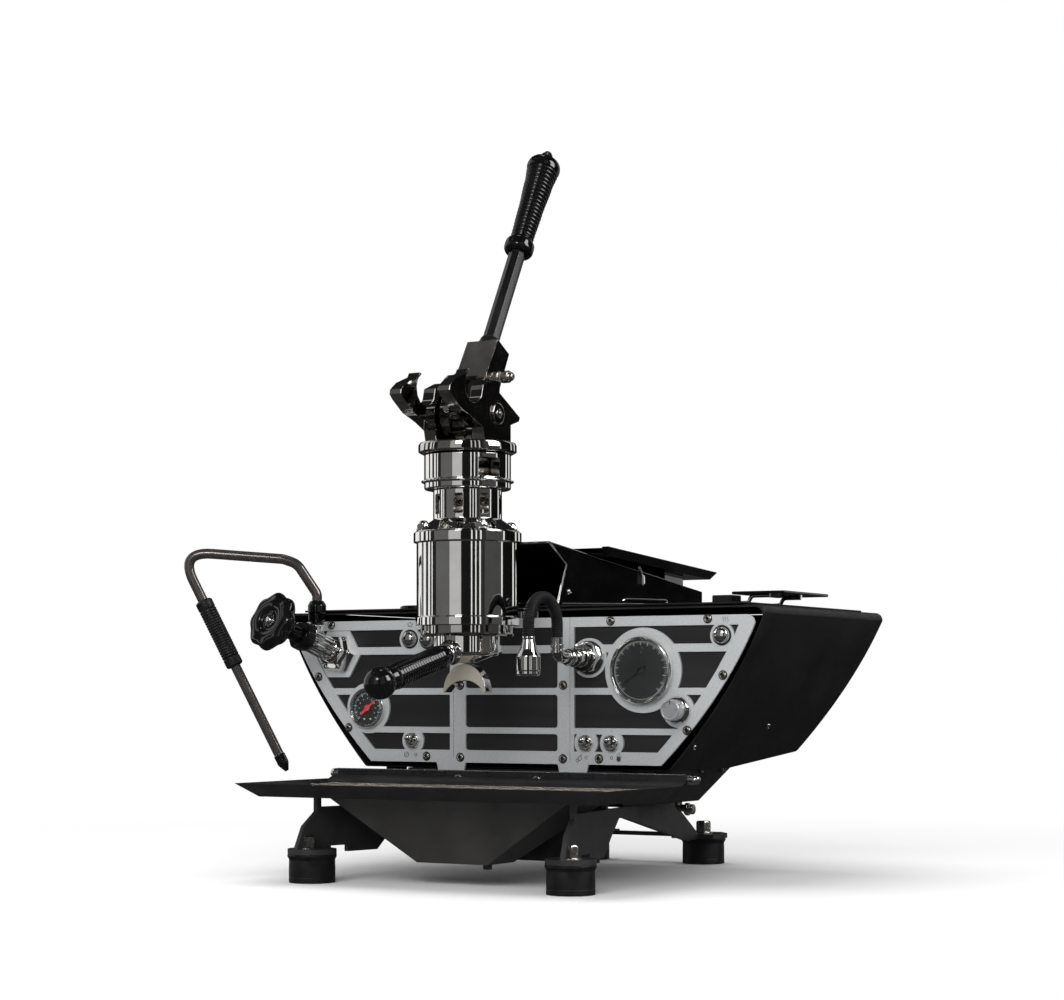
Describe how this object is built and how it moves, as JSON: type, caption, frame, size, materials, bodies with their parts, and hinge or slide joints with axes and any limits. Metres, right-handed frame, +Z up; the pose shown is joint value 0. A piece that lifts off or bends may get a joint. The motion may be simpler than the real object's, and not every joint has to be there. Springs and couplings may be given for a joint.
{
  "type": "lever espresso machine",
  "caption": "Lever espresso machine with a spring group on a boat-shaped hull, a steam wand, a hot-water hose tap and a drip tray on a splayed leg frame.",
  "frame": {"origin": "middle of the whole machine's bounding box, at the feet's underside", "axes": "+Z up, -Y towards the user at the front, +X to the user's right"},
  "size_m": [0.6118, 0.5702, 0.7418],
  "materials": {
    "black_powder_coat": "matt black powder coat",
    "brushed_anthracite": "brushed sheet, dark anthracite",
    "satin_aluminium": "satin, light grey",
    "mirror_chrome": "mirror chrome on brass",
    "black_chrome": "polished dark chrome",
    "gloss_black": "gloss black",
    "satin_steel": "turned and satin stainless steel",
    "dark_satin_tray": "dark satin coated sheet",
    "black_rubber": "matt black rubber",
    "polished_nickel": "polished nickel",
    "gauge_glass": "clear gauge glass",
    "red_pointer": "red paint",
    "gauge_face": "printed gauge face"
  },
  "bodies": {
    "machine": {"bayonet_ring": "black_chrome", "body_shell": "black_powder_coat", "boiler": "satin_steel", "boiler_gauge_case": "mirror_chrome", "cup_plate": "gloss_black", "cup_shelf": "gloss_black", "filler_cap": "gloss_black", "front_panel": "brushed_anthracite", "group_barrel": "mirror_chrome", "group_collar": "mirror_chrome", "group_mount": "mirror_chrome", "group_sleeve": "mirror_chrome", "group_spring": "satin_steel", "head_fork": "black_chrome", "hood": "gloss_black", "leg_frame": "black_powder_coat", "lower_body": "black_powder_coat", "pivot_pin": "satin_steel", "pressure_gauge_case": "mirror_chrome", "pressure_gauge_dial": "gauge_face", "pressure_gauge_glass": "gauge_glass", "rubber_foot_front_left": "black_rubber", "rubber_foot_front_right": "black_rubber", "rubber_foot_rear_left": "black_rubber", "rubber_foot_rear_right": "black_rubber", "shower_screen": "satin_steel", "steam_valve_body": "black_chrome", "top_deck": "black_powder_coat", "tray_rail": "gloss_black", "trim_frame": "satin_aluminium", "water_tap_body": "mirror_chrome", "water_tap_elbow": "mirror_chrome"},
    "lever": {"lever_knuckle": "black_chrome", "lever_bar": "black_chrome", "lever_grip": "gloss_black", "roller_pin": "satin_steel"},
    "piston": {"piston_rod": "satin_steel"},
    "portafilter": {"portafilter_bowl": "mirror_chrome", "filter_basket": "satin_steel", "portafilter_spout": "polished_nickel", "portafilter_handle": "gloss_black"},
    "steam_handwheel": {"steam_knob": "gloss_black"},
    "wand": {"steam_swivel": "gloss_black", "steam_tube": "satin_steel", "steam_grip": "black_rubber", "steam_tip": "gloss_black"},
    "water_spout": {"water_hose": "black_rubber", "water_nozzle": "mirror_chrome"},
    "selector": {"selector_knob": "satin_aluminium"},
    "pressure_needle": {"pressure_gauge_pointer": "red_pointer"},
    "boiler_needle": {"boiler_gauge_pointer": "red_pointer"},
    "switch_left": {"toggle_left": "mirror_chrome"},
    "switch_inner": {"toggle_inner": "mirror_chrome"},
    "switch_outer": {"toggle_outer": "mirror_chrome"},
    "push_left_outer": {"button_left_outer": "mirror_chrome"},
    "push_left_inner": {"button_left_inner": "mirror_chrome"},
    "push_right": {"button_right": "mirror_chrome"},
    "tray": {"drip_tray": "dark_satin_tray", "hopper": "dark_satin_tray"},
    "grid": {"tray_grid": "dark_satin_tray"}
  },
  "joints": [
    {"name": "lever_swing", "type": "hinge", "parent": "machine", "child": "lever", "pos_m": [0.02941, -0.11686, 0.4545], "axis": [1, 0, 0], "range_deg": [0, 100], "stiffness_Nm_per_rad": 8, "springref_deg": -17.19},
    {"name": "piston_lift", "type": "slide", "parent": "machine", "child": "piston", "axis": [0, 0, 1], "range_m": [0, 0.0276], "deforming": ["group_spring"]},
    {"name": "portafilter_turn", "type": "hinge", "parent": "machine", "child": "portafilter", "pos_m": [0.02941, -0.11686, 0.245], "axis": [0, 0, 1], "range_deg": [-50, 0]},
    {"name": "steam_knob_turn", "type": "hinge", "parent": "machine", "child": "steam_handwheel", "pos_m": [-0.19925, -0.12323, 0.25817], "axis": [-0.2027, -0.9214, 0.3317], "range_deg": [0, 270]},
    {"name": "wand_swing", "type": "hinge", "parent": "machine", "child": "wand", "pos_m": [-0.18608, -0.06334, 0.268], "axis": [0, 0, 1], "range_deg": [-25, 20]},
    {"name": "water_spout_swing", "type": "hinge", "parent": "machine", "child": "water_spout", "pos_m": [0.11821, -0.09736, 0.2385], "axis": [0, 0, 1], "range_deg": [-30, 30]},
    {"name": "selector_turn", "type": "hinge", "parent": "machine", "child": "selector", "pos_m": [0.21591, -0.04386, 0.169], "axis": [0, -1, 0], "range_deg": [-135, 135]},
    {"name": "pressure_needle_turn", "type": "hinge", "parent": "machine", "child": "pressure_needle", "pos_m": [0.17771, -0.03886, 0.2075], "axis": [0, 1, 0], "range_deg": [0, 250]},
    {"name": "boiler_needle_turn", "type": "hinge", "parent": "machine", "child": "boiler_needle", "pos_m": [-0.14209, -0.03586, 0.17], "axis": [0, 1, 0], "range_deg": [-170, 70]},
    {"name": "switch_left_flip", "type": "hinge", "parent": "machine", "child": "switch_left", "pos_m": [-0.08709, -0.03261, 0.137], "axis": [1, 0, 0], "range_deg": [0, 28]},
    {"name": "switch_inner_flip", "type": "hinge", "parent": "machine", "child": "switch_inner", "pos_m": [0.11491, -0.03261, 0.1365], "axis": [1, 0, 0], "range_deg": [0, 28]},
    {"name": "switch_outer_flip", "type": "hinge", "parent": "machine", "child": "switch_outer", "pos_m": [0.14341, -0.03261, 0.1365], "axis": [1, 0, 0], "range_deg": [0, 28]},
    {"name": "push_left_outer_press", "type": "slide", "parent": "machine", "child": "push_left_outer", "axis": [0, 1, 0], "range_m": [0, 0.0025], "stiffness_N_per_m": 300, "springref_m": -0.002},
    {"name": "push_left_inner_press", "type": "slide", "parent": "machine", "child": "push_left_inner", "axis": [0, 1, 0], "range_m": [0, 0.0025], "stiffness_N_per_m": 300, "springref_m": -0.002},
    {"name": "push_right_press", "type": "slide", "parent": "machine", "child": "push_right", "axis": [0, 1, 0], "range_m": [0, 0.0025], "stiffness_N_per_m": 300, "springref_m": -0.002},
    {"name": "tray_lift_off", "type": "slide", "parent": "machine", "child": "tray", "axis": [0, 0, 1], "range_m": [0, 0.02]},
    {"name": "grid_lift_off", "type": "slide", "parent": "tray", "child": "grid", "axis": [0, 0, 1], "range_m": [0, 0.06]}
  ],
  "couplings": [
    {"joint": "piston_lift", "follows": "lever_swing", "m_per_rad": 0.0158}
  ]
}
